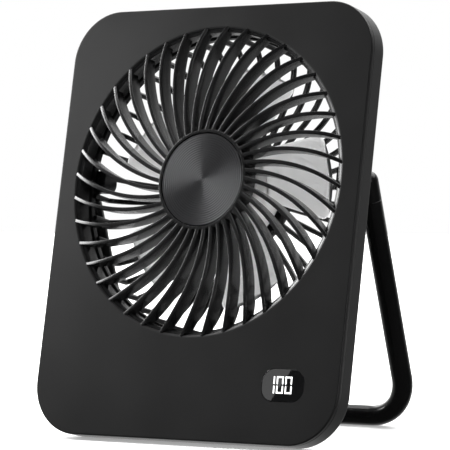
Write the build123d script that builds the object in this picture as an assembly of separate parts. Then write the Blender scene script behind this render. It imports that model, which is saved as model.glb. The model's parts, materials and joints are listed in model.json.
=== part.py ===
"""Foldable desk fan: a flat body with a round swirl grille that leans on a folding tube stand.

Every casing piece is drawn upright in the body's own frame: X to the right, Y from the face
towards the back, Z up from the bottom edge. The stand is drawn hanging from its hinge. Both
are then set to the standing pose, body leaning back and stand open, on the floor at Z = 0.
"""
from build123d import *
import math
import os

os.makedirs("parts", exist_ok=True)

# Body
BODY_WIDTH = 162.0
BODY_HEIGHT = 200.0
BODY_DEPTH = 10.7
CORNER_RADIUS = 24.0
LEAN = 16.0
PANEL_THICKNESS = 2.2
WALL = 1.8
REAR_COVER_THICKNESS = 1.6
LEDGE_WIDTH = 1.4
LEDGE_THICKNESS = 1.2
LIP_DEPTH = 1.2
FRONT_EDGE_ROUND = 0.6
REAR_EDGE_ROUND = 0.8
SEAM_BEVEL = 0.25

# Clearances between pieces
FIXED_GAP = 0.1
PRESS_GAP = 0.01
RUNNING_GAP = 0.05
MOVING_GAP = 0.3

# Air opening and front grille
SIDE_MARGIN = 10.4
TOP_MARGIN = 10.9
FOOT_HEIGHT = 47.9
OPENING_BEVEL = 0.8
COLLAR_WALL = 1.8
RIM_THICKNESS = 1.5
RIM_SETBACK = 0.9
RIB_COUNT = 40
RIB_WIDTH = 1.8
RIB_PROUD = 1.2
RIB_REACH = 6.3
RIB_BEVEL = 0.4
RIB_OVERHANG = 1.4
RIB_MIDDLE_INSET = 2.825
RIB_MIDDLE_SWIRL = 10.3
RIB_TIP_SWIRL = 23.6
RIB_PHASE = 29.7
HUB_RADIUS = 22.6
HUB_PROUD = 2.45
HUB_RIM = 1.1
HUB_BEVEL = 0.35
HUB_FLOOR = 2.0
CAP_THICKNESS = 1.3
CAP_SETBACK = 0.25

# Impeller
BLADE_COUNT = 5
BLADE_TIP_GAP = 14.6
BLADE_THICKNESS = 1.4
BLADE_PHASE = 5.0
BLADE_CORNER = 3.0
BLADE_ROOT_HALF_ANGLE = 28.0
BLADE_TIP_HALF_ANGLE = 20.0
BLADE_ROOT_LEAD = 9.0
BLADE_SHEET_HALF_ROOT = 15.0
BLADE_SHEET_HALF_TIP = 24.0
BLADE_FRONT_ROOT = 10.5
BLADE_FRONT_TIP = 13.5
BLADE_BACK_GAP = 11.8
BLADE_CAMBER = 1.6
CUP_RADIUS = 23.0
CUP_WALL = 1.6
CUP_FRONT_GAP = 1.9
CUP_BACK_GAP = 1.8
CUP_EDGE_ROUND = 1.5

# Motor
CAN_WALL = 1.0
MAGNET_THICKNESS = 2.0
MAGNET_END_GAP = 1.6
AIR_GAP = 0.5
STATOR_END_INSET = 1.5
STATOR_TEETH = 9
TOOTH_WIDTH = 3.0
TOOTH_SHOE = 1.4
SHOE_WIDTH = 7.2
CORE_RADIUS = 8.0
COIL_THICKNESS = 1.1
SHAFT_RADIUS = 1.5
BEARING_RADIUS = 3.5
BEARING_LENGTH = 3.0
TUBE_WALL = 1.4
CLIP_RADIUS = 2.9
CLIP_THICKNESS = 0.5
BASE_INSET = 5.5
BASE_THICKNESS = 1.4

# Rear guard
GUARD_HEIGHT = 25.0
GUARD_THICKNESS = 2.4
GUARD_HUB_RADIUS = 26.5
GUARD_RIB_COUNT = 40
GUARD_RIB_WIDTH = 2.2
GUARD_RIB_PHASE = 4.0
GUARD_FLANGE = 1.6
GUARD_FLANGE_THICKNESS = 1.4
GUARD_DRAFT = 0.5
GUARD_DOME_RADIUS = 35.1
GUARD_CROWN_INSET = 28.2
GUARD_SEAT = 1.6

# Stand and hinges
TUBE_RADIUS = 4.7
TUBE_THICKNESS = 1.0
STAND_SPREAD = 14.56
BEND_RADIUS = 14.0
HINGE_RISE = 2.2
KNUCKLE_LENGTH = 9.0
SPIGOT_LENGTH = 9.0
KNUCKLE_BOSS_INSET = 0.7
LUG_WIDTH = 7.7
LUG_OUTSET = 0.3
PIN_RADIUS = 2.0
PIN_LUG_DEPTH = 5.5
PIN_KNUCKLE_DEPTH = 7.5
WASHER_THICKNESS = 0.7

# Display, switch and power
WINDOW_WIDTH = 21.7
WINDOW_HEIGHT = 14.6
WINDOW_CORNER = 6.2
WINDOW_SIDE_INSET = 28.3
WINDOW_Z = 26.4
WINDOW_THICKNESS = 1.3
MODULE_WIDTH = 16.0
MODULE_HEIGHT = 9.6
BOARD_THICKNESS = 1.2
DISPLAY_BOARD_WIDTH = 28.0
DISPLAY_BOARD_HEIGHT = 24.0
BOARD_POST_INSET = 3.0
BOARD_POST_RADIUS = 2.0
SWITCH_SIZE = 5.2
SWITCH_HEIGHT = 0.8
PLUNGER_RADIUS = 1.7
PLUNGER_HEIGHT = 0.5
BUTTON_RADIUS = 5.5
BUTTON_PROUD = 0.6
BUTTON_FLANGE = 1.2
BUTTON_FLANGE_THICKNESS = 0.9
BUTTON_TRAVEL = 0.6
BUTTON_STEM_RADIUS = 1.6
BUTTON_STEM_LENGTH = 0.1
BUTTON_EDGE_ROUND = 0.4
BATTERY_SIDE_GAP = 7.0
BATTERY_BACK_GAP = 0.7
BATTERY_HEIGHT = 34.0
BATTERY_Z = 24.0
BATTERY_ROUND = 2.5
INLET_WIDTH = 8.94
INLET_HEIGHT = 3.26
INLET_LENGTH = 7.3
INLET_WALL = 0.35
INLET_Z = 36.0
TONGUE_WIDTH = 6.7
TONGUE_THICKNESS = 0.7
CHARGE_BOARD_BACK_GAP = 1.0
CHARGE_BOARD_WIDTH = 14.0
CHARGE_BOARD_HEIGHT = 20.0

# Screws
SCREW_RADIUS = 1.0
SCREW_HEAD_RADIUS = 2.3
SCREW_HEAD_THICKNESS = 1.0
SCREW_HEAD_BEVEL = 0.3
SCREW_DEPTH = 6.0
POST_RADIUS = 2.8
CORNER_SCREW_INSET = 6.2
SIDE_SCREW_INSET = 8.0
SIDE_SCREW_Z = 62.0
GUARD_TAB_RADIUS = 5.0
GUARD_TAB_ANGLES = [45.0, 135.0, 225.0, 315.0]
MOTOR_SCREW_INSET = 4.0
MOTOR_SCREW_ANGLES = [90.0, 210.0, 330.0]
MOTOR_SCREW_RADIUS = 0.9
MOTOR_SCREW_HEAD = 1.8

# Opening: the largest that leaves the margins and the foot, with the grille and guard in it
OPENING_RADIUS = min(BODY_WIDTH / 2 - SIDE_MARGIN, (BODY_HEIGHT - TOP_MARGIN - FOOT_HEIGHT) / 2)
AXIS_HEIGHT = BODY_HEIGHT - TOP_MARGIN - OPENING_RADIUS
REAR_COVER_FRONT = BODY_DEPTH - REAR_COVER_THICKNESS
COLLAR_RADIUS = OPENING_RADIUS + COLLAR_WALL
RIM_RADIUS = OPENING_RADIUS - FIXED_GAP
CAP_RADIUS = HUB_RADIUS - HUB_RIM - FIXED_GAP
HUB_BACK = RIB_REACH
GUARD_RADIUS = RIM_RADIUS - MOVING_GAP
GUARD_FRONT = BODY_DEPTH
GUARD_BACK = BODY_DEPTH + GUARD_HEIGHT
GUARD_CROWN_RADIUS = GUARD_RADIUS - GUARD_CROWN_INSET
REAR_OPENING_RADIUS = GUARD_RADIUS - GUARD_SEAT
GUARD_TAB_CIRCLE = COLLAR_RADIUS + POST_RADIUS - COLLAR_WALL / 2
HUB_PLATE_FRONT = GUARD_BACK - GUARD_THICKNESS

# Impeller and motor, between the front ribs and the guard's hub plate
BASE_RADIUS = GUARD_HUB_RADIUS - BASE_INSET
BASE_FRONT = HUB_PLATE_FRONT - BASE_THICKNESS
MOTOR_SCREW_CIRCLE = BASE_RADIUS - MOTOR_SCREW_INSET
BLADE_TIP_RADIUS = OPENING_RADIUS - BLADE_TIP_GAP
BLADE_BACK = HUB_PLATE_FRONT - BLADE_BACK_GAP
CUP_FRONT = HUB_BACK + CUP_FRONT_GAP
CUP_BACK = BASE_FRONT - CUP_BACK_GAP
CAN_RADIUS = CUP_RADIUS - CUP_WALL - PRESS_GAP
CAN_FRONT = CUP_FRONT + CUP_WALL
MAGNET_RADIUS = CAN_RADIUS - CAN_WALL - PRESS_GAP
MAGNET_FRONT = CAN_FRONT + CAN_WALL + MAGNET_END_GAP
MAGNET_BACK = CUP_BACK - CAN_WALL
STATOR_RADIUS = MAGNET_RADIUS - MAGNET_THICKNESS - AIR_GAP
STATOR_FRONT = MAGNET_FRONT + STATOR_END_INSET
STATOR_BACK = MAGNET_BACK - STATOR_END_INSET
STATOR_LENGTH = STATOR_BACK - STATOR_FRONT
BEARING_TUBE_RADIUS = BEARING_RADIUS + PRESS_GAP + TUBE_WALL
BEARING_TUBE_FRONT = CAN_FRONT + CAN_WALL + 2 * RUNNING_GAP + MOVING_GAP

# Hinges, beside the guard and behind the back
HINGE_HEIGHT = AXIS_HEIGHT + HINGE_RISE
HINGE_DEPTH = BODY_DEPTH + MOVING_GAP + TUBE_RADIUS
LUG_RADIUS = HINGE_DEPTH - BODY_DEPTH
LUG_OUTER = GUARD_RADIUS + LUG_OUTSET
LUG_INNER = LUG_OUTER - LUG_WIDTH
LEG_X = BODY_WIDTH / 2 - TUBE_RADIUS
KNUCKLE_BOSS_RADIUS = TUBE_RADIUS - KNUCKLE_BOSS_INSET
WASHER_RADIUS = KNUCKLE_BOSS_RADIUS
BOSS_END = LUG_OUTER + WASHER_THICKNESS + 2 * RUNNING_GAP

# Foot: the display stack from the button forwards, the inlet's board and the battery between them
WINDOW_X = BODY_WIDTH / 2 - WINDOW_SIDE_INSET
BUTTON_FLANGE_BACK = REAR_COVER_FRONT - FIXED_GAP
BUTTON_FLANGE_FRONT = BUTTON_FLANGE_BACK - BUTTON_FLANGE_THICKNESS
BUTTON_STEM_FRONT = BUTTON_FLANGE_FRONT - BUTTON_STEM_LENGTH
PLUNGER_TOP = BUTTON_STEM_FRONT - BUTTON_TRAVEL - FIXED_GAP
DISPLAY_BOARD_BACK = PLUNGER_TOP - PLUNGER_HEIGHT - SWITCH_HEIGHT
DISPLAY_BOARD_FRONT = DISPLAY_BOARD_BACK - BOARD_THICKNESS
CHARGE_BOARD_FRONT = REAR_COVER_FRONT - CHARGE_BOARD_BACK_GAP - BOARD_THICKNESS
CHARGE_BOARD_X = -BODY_WIDTH / 2 + WALL + LEDGE_WIDTH + FIXED_GAP + CHARGE_BOARD_WIDTH / 2
INLET_DEPTH = CHARGE_BOARD_FRONT - INLET_HEIGHT / 2
BATTERY_LEFT = CHARGE_BOARD_X + CHARGE_BOARD_WIDTH / 2 + BATTERY_SIDE_GAP
BATTERY_RIGHT = WINDOW_X - DISPLAY_BOARD_WIDTH / 2 - BATTERY_SIDE_GAP
BATTERY_THICKNESS = REAR_COVER_FRONT - PANEL_THICKNESS - BATTERY_BACK_GAP

# Standing pose: the body's lower back edge on the floor
LIFT = (BODY_DEPTH - REAR_EDGE_ROUND) * math.sin(math.radians(LEAN)) + REAR_EDGE_ROUND * (
    1 - math.cos(math.radians(LEAN)))
BODY_PLACE = Pos(0, 0, LIFT) * Rot(-LEAN, 0, 0)
HINGE = BODY_PLACE * Pos(0, HINGE_DEPTH, HINGE_HEIGHT)
LEG_LENGTH = (HINGE.position.Z - TUBE_RADIUS) / math.cos(math.radians(STAND_SPREAD))
STAND_PLACE = Pos(0, HINGE.position.Y, HINGE.position.Z) * Rot(STAND_SPREAD, 0, 0)


# Helpers

def polar(radius, angle):
    """Point at a radius and an angle, seen from the front, anticlockwise from the right."""
    return (radius * math.cos(math.radians(angle)), radius * math.sin(math.radians(angle)))


def slab(outline, front, back):
    """Solid of an upright flat outline between two depths behind the face."""
    return Pos(0, back, 0) * extrude(Plane.XZ * outline, back - front)


def on_axis(outline):
    """Outline moved from the origin to the fan's axis."""
    return Pos(0, AXIS_HEIGHT) * outline


def disc(radius, front, back):
    """Round plate on the fan's axis."""
    return slab(on_axis(Circle(radius)), front, back)


def ring(outer, inner, front, back):
    """Round ring on the fan's axis."""
    return slab(on_axis(Circle(outer) - Circle(inner)), front, back)


def turned(points):
    """Solid turned about the fan's axis from a closed outline of (radius, depth) points."""
    outline = make_face(Polyline(*points, close=True))
    return Pos(0, 0, AXIS_HEIGHT) * revolve(outline, Axis.Y)


def around(solid, count, start=0.0):
    """Copies of a solid at equal steps round the fan's axis, anticlockwise seen from the front."""
    axis = Pos(0, 0, AXIS_HEIGHT)
    step = 360.0 / count
    return [axis * Rot(0, -(start + step * i), 0) * axis.inverse() * solid for i in range(count)]


def body_outline(inset=0.0):
    """Rounded outline of the body, drawn in by an inset."""
    width = BODY_WIDTH - 2 * inset
    height = BODY_HEIGHT - 2 * inset
    return Pos(0, BODY_HEIGHT / 2) * RectangleRounded(width, height, CORNER_RADIUS - inset)


def curved_band(points, width):
    """Band of constant width along the arc through three points, its ends square to the arc."""
    middle = ThreePointArc(*points)
    centre = middle.arc_center

    def moved(side):
        grow = (middle.radius + side * width / 2) / middle.radius
        return ThreePointArc(*[centre + (Vector(*p) - centre) * grow for p in points])

    outer = moved(1)
    inner = moved(-1)
    return make_face([outer, Line(outer @ 1, inner @ 1), inner, Line(inner @ 0, outer @ 0)])


def screw(x, z, head_front, radius, head_radius, head_thickness, depth):
    """Screw driven from the back, its head behind head_front and its shank in front of it."""
    head = slab(Pos(x, z) * Circle(head_radius), head_front, head_front + head_thickness)
    head = chamfer(head.edges().group_by(Axis.Y)[-1], SCREW_HEAD_BEVEL)
    slot = Pos(x, head_front + head_thickness, z) * Box(head_radius, head_thickness, head_thickness / 2)
    cross = slot + Pos(x, head_front + head_thickness, z) * Box(
        head_thickness / 2, head_thickness, head_radius)
    return head - cross + slab(Pos(x, z) * Circle(radius), head_front - depth, head_front)


def mirrored_places(places):
    """Each place and its mirror image on the left."""
    return [(side * x, z) for x, z in places for side in (1, -1)]


def places_round_axis(radius, angles):
    """Places on a circle round the fan's axis."""
    return [(x, AXIS_HEIGHT + z) for x, z in (polar(radius, angle) for angle in angles)]


CORNER_REACH = (CORNER_RADIUS - CORNER_SCREW_INSET) / math.sqrt(2) - CORNER_RADIUS
COVER_SCREWS = mirrored_places([
    (BODY_WIDTH / 2 + CORNER_REACH, BODY_HEIGHT + CORNER_REACH),
    (BODY_WIDTH / 2 - SIDE_SCREW_INSET, SIDE_SCREW_Z),
    (BODY_WIDTH / 2 + CORNER_REACH, -CORNER_REACH)])
GUARD_SCREWS = places_round_axis(GUARD_TAB_CIRCLE, GUARD_TAB_ANGLES)
MOTOR_SCREWS = places_round_axis(MOTOR_SCREW_CIRCLE, MOTOR_SCREW_ANGLES)
DISPLAY_POSTS = [
    (WINDOW_X + side * (DISPLAY_BOARD_WIDTH / 2 - BOARD_POST_INSET),
     WINDOW_Z + side * (DISPLAY_BOARD_HEIGHT / 2 - BOARD_POST_INSET)) for side in (1, -1)]
CHARGE_POSTS = [
    (CHARGE_BOARD_X + CHARGE_BOARD_WIDTH / 2 - BOARD_POST_INSET,
     INLET_Z + side * (CHARGE_BOARD_HEIGHT / 2 - BOARD_POST_INSET)) for side in (1, -1)]


# Casing

def front_cover():
    """Front panel with the bevelled air opening, its collar, the display recess and the posts."""
    panel = slab(body_outline(), 0, PANEL_THICKNESS)
    panel = fillet(panel.faces().sort_by(Axis.Y)[0].edges(), FRONT_EDGE_ROUND)
    panel = chamfer(panel.faces().sort_by(Axis.Y)[-1].edges(), SEAM_BEVEL)
    lip = slab(body_outline(WALL + FIXED_GAP) - body_outline(2 * WALL), PANEL_THICKNESS,
               PANEL_THICKNESS + LIP_DEPTH)
    collar = disc(COLLAR_RADIUS, PANEL_THICKNESS, REAR_COVER_FRONT)
    cover = panel + lip + collar
    for x, z in COVER_SCREWS + GUARD_SCREWS:
        cover += slab(Pos(x, z) * Circle(POST_RADIUS), PANEL_THICKNESS, REAR_COVER_FRONT)
    for x, z in DISPLAY_POSTS:
        cover += slab(Pos(x, z) * Circle(BOARD_POST_RADIUS), PANEL_THICKNESS, DISPLAY_BOARD_FRONT)
    for x, z in CHARGE_POSTS:
        cover += slab(Pos(x, z) * Circle(BOARD_POST_RADIUS), PANEL_THICKNESS, CHARGE_BOARD_FRONT)
    for x, z in COVER_SCREWS + GUARD_SCREWS:
        cover -= slab(Pos(x, z) * Circle(SCREW_RADIUS + PRESS_GAP), PANEL_THICKNESS, BODY_DEPTH)
    cover -= turned([(0, -OPENING_BEVEL), (OPENING_RADIUS + 2 * OPENING_BEVEL, -OPENING_BEVEL),
                     (OPENING_RADIUS, OPENING_BEVEL), (OPENING_RADIUS, BODY_DEPTH), (0, BODY_DEPTH)])
    cover -= slab(window_outline(-FIXED_GAP), 0, WINDOW_THICKNESS)
    cover -= slab(module_outline(-2 * FIXED_GAP), 0, PANEL_THICKNESS)
    return cover - inlet_slot()


def side_frame():
    """Wall round the body with a ledge that the rear cover sits on and the slot of the inlet."""
    wall = slab(body_outline(), PANEL_THICKNESS, BODY_DEPTH)
    wall = fillet(wall.faces().sort_by(Axis.Y)[-1].edges(), REAR_EDGE_ROUND)
    wall = chamfer(wall.faces().sort_by(Axis.Y)[0].edges(), SEAM_BEVEL)
    wall -= slab(body_outline(WALL), PANEL_THICKNESS, BODY_DEPTH)
    ledge = slab(body_outline(WALL) - body_outline(WALL + LEDGE_WIDTH),
                 REAR_COVER_FRONT - LEDGE_THICKNESS, REAR_COVER_FRONT)
    return wall + ledge - inlet_slot()


def rear_cover():
    """Flat back inside the frame, with the rear opening, screw recesses and the button's hole."""
    cover = slab(body_outline(WALL + FIXED_GAP), REAR_COVER_FRONT, BODY_DEPTH)
    cover -= disc(REAR_OPENING_RADIUS, REAR_COVER_FRONT, BODY_DEPTH)
    button_hole = Pos(WINDOW_X, WINDOW_Z) * Circle(BUTTON_RADIUS + MOVING_GAP)
    cover -= slab(button_hole, REAR_COVER_FRONT, BODY_DEPTH)
    for x, z in COVER_SCREWS + GUARD_SCREWS:
        cover -= slab(Pos(x, z) * Circle(SCREW_RADIUS + FIXED_GAP), REAR_COVER_FRONT, BODY_DEPTH)
    for x, z in COVER_SCREWS:
        cover -= slab(Pos(x, z) * Circle(SCREW_HEAD_RADIUS + FIXED_GAP),
                      BODY_DEPTH - SCREW_HEAD_THICKNESS, BODY_DEPTH)
    return cover


# Front grille

def front_grille():
    """Hub, rim and deep curved ribs whose tips reach over the opening's bevel onto the face."""
    tip_radius = RIM_RADIUS + RIB_OVERHANG
    root_radius = HUB_RADIUS - HUB_RIM / 2
    middle_radius = (root_radius + tip_radius) / 2 - RIB_MIDDLE_INSET
    band = curved_band([polar(root_radius, 0), polar(middle_radius, -RIB_MIDDLE_SWIRL),
                        polar(tip_radius, -RIB_TIP_SWIRL)], RIB_WIDTH)
    rib = slab(on_axis(band), -RIB_PROUD, RIB_REACH)
    rib = chamfer(rib.faces().sort_by(Axis.Y)[0].edges().filter_by(GeomType.CIRCLE), RIB_BEVEL)
    rib -= ring(2 * tip_radius, RIM_RADIUS - RIM_THICKNESS / 2, 0, BODY_DEPTH)
    hub = disc(HUB_RADIUS, -HUB_PROUD, HUB_BACK)
    hub = chamfer(hub.edges().group_by(Axis.Y)[0], HUB_BEVEL)
    rim = ring(RIM_RADIUS, RIM_RADIUS - RIM_THICKNESS, RIM_SETBACK, REAR_COVER_FRONT)
    grille = hub + around(rib, RIB_COUNT, RIB_PHASE) + rim
    grille -= disc(CAP_RADIUS + FIXED_GAP, -HUB_PROUD, CAP_THICKNESS + CAP_SETBACK - HUB_PROUD)
    hollow_front = CAP_THICKNESS + CAP_SETBACK - HUB_PROUD + HUB_FLOOR
    return grille - disc(HUB_RADIUS - HUB_FLOOR, hollow_front, HUB_BACK)


def hub_cap():
    """Disc in the hub's recess, slightly dished from its rim to its middle."""
    front = CAP_SETBACK - HUB_PROUD
    return turned([(0, front + CAP_SETBACK), (CAP_RADIUS, front), (CAP_RADIUS, front + CAP_THICKNESS),
                   (0, front + CAP_THICKNESS)])


# Impeller and rotor

def blade_section(reach):
    """Curved strip across the blade at a distance from the axis, leading edge at the back."""
    share = (reach - CUP_RADIUS) / (BLADE_TIP_RADIUS - CUP_RADIUS)
    front = BLADE_FRONT_ROOT + share * (BLADE_FRONT_TIP - BLADE_FRONT_ROOT)
    half = BLADE_SHEET_HALF_ROOT + share * (BLADE_SHEET_HALF_TIP - BLADE_SHEET_HALF_ROOT)
    thick = BLADE_THICKNESS / 2
    camber = BLADE_CAMBER

    def edge(side):
        return ThreePointArc((BLADE_BACK + side * thick, -half),
                             ((BLADE_BACK + front) / 2 + camber + side * thick, 0),
                             (front + side * thick, half))

    back = edge(1)
    face = edge(-1)
    outline = make_face([back, Line(back @ 1, face @ 1), face, Line(face @ 0, back @ 0)])
    return Pos(reach, 0, AXIS_HEIGHT) * (Plane.YZ * outline)


def blade_planform():
    """Outline of one blade from the front: a petal with a round tip and rounded corners."""
    root = CUP_RADIUS - CUP_WALL / 2
    low_root = polar(root, BLADE_ROOT_LEAD - BLADE_ROOT_HALF_ANGLE)
    high_root = polar(root, BLADE_ROOT_LEAD + BLADE_ROOT_HALF_ANGLE)
    low_tip = polar(BLADE_TIP_RADIUS, -BLADE_TIP_HALF_ANGLE)
    high_tip = polar(BLADE_TIP_RADIUS, BLADE_TIP_HALF_ANGLE)
    outline = make_face([Line(low_root, low_tip), ThreePointArc(low_tip, (BLADE_TIP_RADIUS, 0), high_tip),
                         Line(high_tip, high_root), ThreePointArc(high_root, polar(root, BLADE_ROOT_LEAD),
                                                                  low_root)])
    tips = outline.vertices().sort_by(lambda v: Vector(v.X, v.Y).length)[-2:]
    return on_axis(fillet(tips, BLADE_CORNER))


def impeller():
    """Round cup that holds the rotor, with petal blades lofted from it and cut to their outline."""
    cup = disc(CUP_RADIUS, CUP_FRONT, CUP_BACK)
    cup = fillet(cup.edges().group_by(Axis.Y)[0], CUP_EDGE_ROUND)
    sheet = loft([blade_section(CUP_RADIUS - CUP_WALL), blade_section(BLADE_TIP_RADIUS + BLADE_THICKNESS)],
                 ruled=True)
    blade = sheet & slab(blade_planform(), CUP_FRONT, GUARD_BACK)
    wheel = cup + around(blade, BLADE_COUNT, BLADE_PHASE)
    wheel -= disc(CUP_RADIUS - CUP_WALL, CAN_FRONT, GUARD_BACK)
    return wheel


def rotor_can():
    """Steel cup pressed into the impeller, with the boss that grips the shaft."""
    can = ring(CAN_RADIUS, CAN_RADIUS - CAN_WALL, CAN_FRONT, CUP_BACK)
    plate = ring(CAN_RADIUS, SHAFT_RADIUS + PRESS_GAP, CAN_FRONT, CAN_FRONT + CAN_WALL)
    return can + plate


def magnet_ring():
    return ring(MAGNET_RADIUS, MAGNET_RADIUS - MAGNET_THICKNESS, MAGNET_FRONT, MAGNET_BACK)


def motor_shaft():
    """Shaft from the rotor can to just in front of the guard's hub plate."""
    return disc(SHAFT_RADIUS, CAN_FRONT, BASE_FRONT + BASE_THICKNESS - MOVING_GAP)


def shaft_clip():
    """Open clip at the back end of the shaft that keeps it in its bearings."""
    back = BASE_FRONT + BASE_THICKNESS - MOVING_GAP
    clip = ring(CLIP_RADIUS, SHAFT_RADIUS + PRESS_GAP, back - CLIP_THICKNESS, back)
    gap = Pos(0, back - CLIP_THICKNESS / 2, AXIS_HEIGHT - CLIP_RADIUS) * Box(
        SHAFT_RADIUS, CLIP_THICKNESS, 2 * SHAFT_RADIUS)
    return clip - gap


# Motor parts that stand still

def motor_base():
    """Plate on the guard's hub with the tube that holds both bearings."""
    plate = disc(BASE_RADIUS, BASE_FRONT, HUB_PLATE_FRONT)
    tube = disc(BEARING_TUBE_RADIUS, BEARING_TUBE_FRONT, BASE_FRONT)
    base = plate + tube
    base -= disc(BEARING_RADIUS + PRESS_GAP, BEARING_TUBE_FRONT, HUB_PLATE_FRONT)
    for x, z in MOTOR_SCREWS:
        base -= slab(Pos(x, z) * Circle(MOTOR_SCREW_RADIUS + PRESS_GAP), BASE_FRONT, HUB_PLATE_FRONT)
    return base


def bearing(front):
    """Bush-sized ball bearing, shown as one ring with a running fit on the shaft."""
    return ring(BEARING_RADIUS, SHAFT_RADIUS + RUNNING_GAP, front, front + BEARING_LENGTH)


def stator_core():
    """Laminated star: a round core with straight teeth that end in wide shoes."""
    shoe_back = STATOR_RADIUS - TOOTH_SHOE
    outline = Circle(CORE_RADIUS)
    for i in range(STATOR_TEETH):
        tooth = Pos(STATOR_RADIUS / 2, 0) * Rectangle(STATOR_RADIUS, TOOTH_WIDTH)
        shoe = Pos((STATOR_RADIUS + shoe_back) / 2, 0) * Rectangle(2 * TOOTH_SHOE, SHOE_WIDTH)
        outline += Rot(0, 0, 360 * i / STATOR_TEETH) * (tooth + shoe)
    outline = outline & Circle(STATOR_RADIUS)
    outline -= Circle(BEARING_TUBE_RADIUS + PRESS_GAP)
    return slab(on_axis(outline), STATOR_FRONT, STATOR_BACK)


def stator_winding():
    """One coil round each tooth."""
    length = STATOR_RADIUS - 2 * TOOTH_SHOE - CORE_RADIUS - 4 * FIXED_GAP
    middle = CORE_RADIUS + 2 * FIXED_GAP + length / 2
    outer = Box(length, STATOR_LENGTH + 2 * COIL_THICKNESS, TOOTH_WIDTH + 2 * COIL_THICKNESS)
    core = Box(length, STATOR_LENGTH + 2 * PRESS_GAP, TOOTH_WIDTH + 2 * PRESS_GAP)
    outer = fillet(outer.edges().filter_by(Axis.X), COIL_THICKNESS / 2)
    coil = Pos(middle, (STATOR_FRONT + STATOR_BACK) / 2, AXIS_HEIGHT) * (outer - core)
    return Compound(around(coil, STATOR_TEETH))


# Rear guard

def guard_dome(inset):
    """Solid under the guard's dome, drawn in by an inset: drafted wall, round shoulder, flat crown."""
    foot = GUARD_RADIUS - inset
    top = GUARD_BACK - inset
    radius = GUARD_DOME_RADIUS - inset
    wall_turn = math.acos((foot - GUARD_DRAFT - GUARD_CROWN_RADIUS) / radius)
    wall, middle, crown = [
        (GUARD_CROWN_RADIUS + radius * math.cos(turn), top - radius * (1 - math.sin(turn)))
        for turn in (wall_turn, (wall_turn + math.pi / 2) / 2, math.pi / 2)]
    outline = make_face([Line((0, GUARD_FRONT), (foot, GUARD_FRONT)), Line((foot, GUARD_FRONT), wall),
                         ThreePointArc(wall, middle, crown), Line(crown, (0, top)),
                         Line((0, top), (0, GUARD_FRONT))])
    return Pos(0, 0, AXIS_HEIGHT) * revolve(outline, Axis.Y)


def hinge_lug(side):
    """Rounded lug beside the opening that carries one hinge pin."""
    foot = Pos((GUARD_FRONT + HINGE_DEPTH) / 2, HINGE_HEIGHT) * Rectangle(
        HINGE_DEPTH - GUARD_FRONT, 2 * LUG_RADIUS)
    outline = foot + Pos(HINGE_DEPTH, HINGE_HEIGHT) * Circle(LUG_RADIUS)
    lug = extrude(Plane.YZ * outline, LUG_OUTER - LUG_INNER)
    return Pos(LUG_INNER if side > 0 else -LUG_OUTER, 0, 0) * lug


def pin_bore(side, radius, inner, outer):
    """Round bore along the hinge axis between two distances from the middle."""
    bore = extrude(Plane.YZ * (Pos(HINGE_DEPTH, HINGE_HEIGHT) * Circle(radius)), outer - inner)
    return Pos(inner if side > 0 else -outer, 0, 0) * bore


def rear_grille():
    """Domed guard: flange with screw tabs, straight ribs, hub plate and hinge lugs."""
    shell = guard_dome(0) - guard_dome(GUARD_THICKNESS)
    tip_radius = GUARD_RADIUS - GUARD_FLANGE / 2
    root_radius = GUARD_HUB_RADIUS - GUARD_THICKNESS
    band = Pos((root_radius + tip_radius) / 2, 0) * Rectangle(tip_radius - root_radius, GUARD_RIB_WIDTH)
    rib = slab(on_axis(band), GUARD_FRONT, GUARD_BACK) & shell
    flange = on_axis(Circle(GUARD_RADIUS))
    for x, z in GUARD_SCREWS:
        flange += Pos(x, z) * Circle(GUARD_TAB_RADIUS)
    flange -= on_axis(Circle(GUARD_RADIUS - GUARD_FLANGE))
    hub = disc(GUARD_HUB_RADIUS, HUB_PLATE_FRONT, GUARD_BACK)
    guard = hub + around(rib, GUARD_RIB_COUNT, GUARD_RIB_PHASE)
    guard += slab(flange, GUARD_FRONT, GUARD_FRONT + GUARD_FLANGE_THICKNESS)
    guard += [hinge_lug(side) for side in (1, -1)]
    for side in (1, -1):
        guard -= pin_bore(side, PIN_RADIUS + RUNNING_GAP, LUG_OUTER - PIN_LUG_DEPTH - FIXED_GAP, LUG_OUTER)
    for x, z in GUARD_SCREWS:
        guard -= slab(Pos(x, z) * Circle(SCREW_RADIUS + FIXED_GAP), GUARD_FRONT, GUARD_BACK)
    for x, z in MOTOR_SCREWS:
        guard -= slab(Pos(x, z) * Circle(MOTOR_SCREW_RADIUS + FIXED_GAP), HUB_PLATE_FRONT, GUARD_BACK)
    return guard


# Hinges and stand, the stand hanging straight down from the hinge at the origin

def hinge_washer(side):
    washer = Circle(WASHER_RADIUS) - Circle(PIN_RADIUS + FIXED_GAP)
    inner = LUG_OUTER + RUNNING_GAP
    solid = extrude(Plane.YZ * (Pos(HINGE_DEPTH, HINGE_HEIGHT) * washer), WASHER_THICKNESS)
    return Pos(inner if side > 0 else -inner - WASHER_THICKNESS, 0, 0) * solid


def stand_tube():
    """Tube bent to a U: two legs and the bar that stands on the floor."""
    path = FilletPolyline((-LEG_X, 0, -KNUCKLE_LENGTH), (-LEG_X, 0, -LEG_LENGTH), (LEG_X, 0, -LEG_LENGTH),
                          (LEG_X, 0, -KNUCKLE_LENGTH), radius=BEND_RADIUS)
    section = Circle(TUBE_RADIUS) - Circle(TUBE_RADIUS - TUBE_THICKNESS)
    start = Plane(origin=path @ 0, z_dir=path % 0)
    return sweep(start * section, path)


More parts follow.
